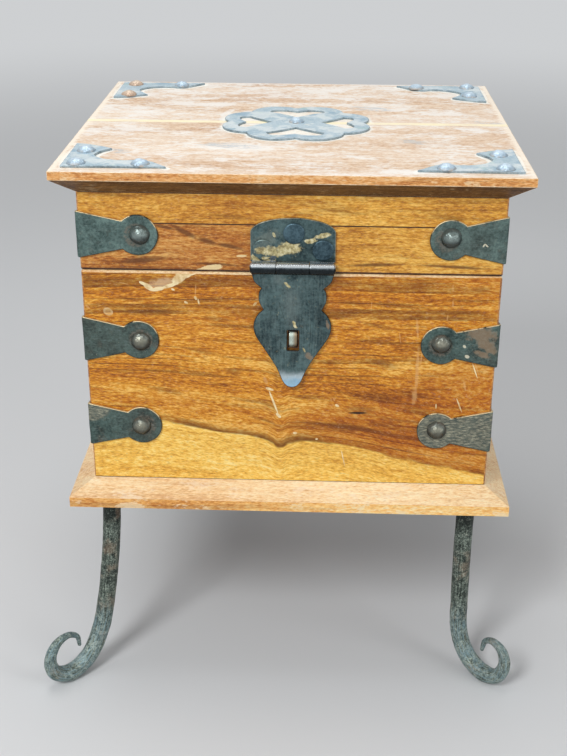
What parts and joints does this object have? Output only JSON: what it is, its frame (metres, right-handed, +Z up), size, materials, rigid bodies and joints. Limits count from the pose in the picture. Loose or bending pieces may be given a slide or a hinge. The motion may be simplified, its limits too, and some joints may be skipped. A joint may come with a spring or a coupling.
{
  "type": "iron-bound wooden keepsake chest on scroll legs",
  "caption": "Small hinged-lid hardwood chest bound with nailed iron straps, closed by a hasp and staple, standing on four forged iron scroll legs.",
  "frame": {"origin": "on the floor, under the middle of the chest's footprint", "axes": "+Z up, +X to the right seen from the hasp side, +Y to the back; the hasp faces -Y"},
  "size_m": [0.3312, 0.3006, 0.3663],
  "materials": {
    "wall_wood": "satin oiled hardwood, orange brown with dark figure",
    "board_wood": "worn and bleached hardwood",
    "dark_iron": "blackened sheet iron, mottled, worn edges",
    "forged_iron": "scaly forged rod with light rust",
    "bright_iron": "iron rubbed bright by use"
  },
  "bodies": {
    "chest": {"base_board_front": "board_wood", "base_board_rear": "board_wood", "body_front": "wall_wood", "body_back": "wall_wood", "body_left": "wall_wood", "body_right": "wall_wood", "strap_upper_front_left": "dark_iron", "strap_upper_front_right": "dark_iron", "strap_upper_rear_left": "dark_iron", "strap_upper_rear_right": "dark_iron", "strap_lower_front_left": "dark_iron", "strap_lower_front_right": "dark_iron", "strap_lower_rear_left": "dark_iron", "strap_lower_rear_right": "dark_iron", "hasp_staple": "bright_iron", "hinge_body_leaf_left": "dark_iron", "hinge_body_leaf_right": "dark_iron", "hinge_pin_left": "bright_iron", "hinge_pin_right": "bright_iron", "leg_front_left": "forged_iron", "leg_front_right": "forged_iron", "leg_rear_left": "forged_iron", "leg_rear_right": "forged_iron", "leg_plate_front_left": "forged_iron", "leg_plate_front_right": "forged_iron", "leg_plate_rear_left": "forged_iron", "leg_plate_rear_right": "forged_iron"},
    "lid": {"lid_board_front": "board_wood", "lid_board_rear": "board_wood", "lid_lower_strip_front": "wall_wood", "lid_lower_strip_back": "wall_wood", "lid_lower_strip_left": "wall_wood", "lid_lower_strip_right": "wall_wood", "lid_upper_strip_front": "wall_wood", "lid_upper_strip_back": "wall_wood", "lid_upper_strip_left": "wall_wood", "lid_upper_strip_right": "wall_wood", "strap_lid_front_left": "dark_iron", "strap_lid_front_right": "dark_iron", "strap_lid_rear_left": "dark_iron", "strap_lid_rear_right": "dark_iron", "lid_bracket_front_left": "dark_iron", "lid_bracket_front_right": "dark_iron", "lid_bracket_rear_left": "dark_iron", "lid_bracket_rear_right": "dark_iron", "medallion": "dark_iron", "medallion_nail": "dark_iron", "hasp_plate": "dark_iron", "hasp_rivet_top": "dark_iron", "hasp_rivet_left": "dark_iron", "hasp_rivet_right": "dark_iron", "hasp_pin": "bright_iron", "hinge_lid_leaf_left": "dark_iron", "hinge_lid_leaf_right": "dark_iron"},
    "hasp": {"hasp_leaf": "dark_iron"}
  },
  "joints": [
    {"name": "lid_hinge", "type": "hinge", "parent": "chest", "child": "lid", "pos_m": [0, 0.1217, 0.2959], "axis": [-1, 0, 0], "range_deg": [0, 172]},
    {"name": "hasp_swing", "type": "hinge", "parent": "lid", "child": "hasp", "pos_m": [0.0013, -0.1217, 0.3005], "axis": [-1, 0, 0], "range_deg": [0, 168]}
  ]
}
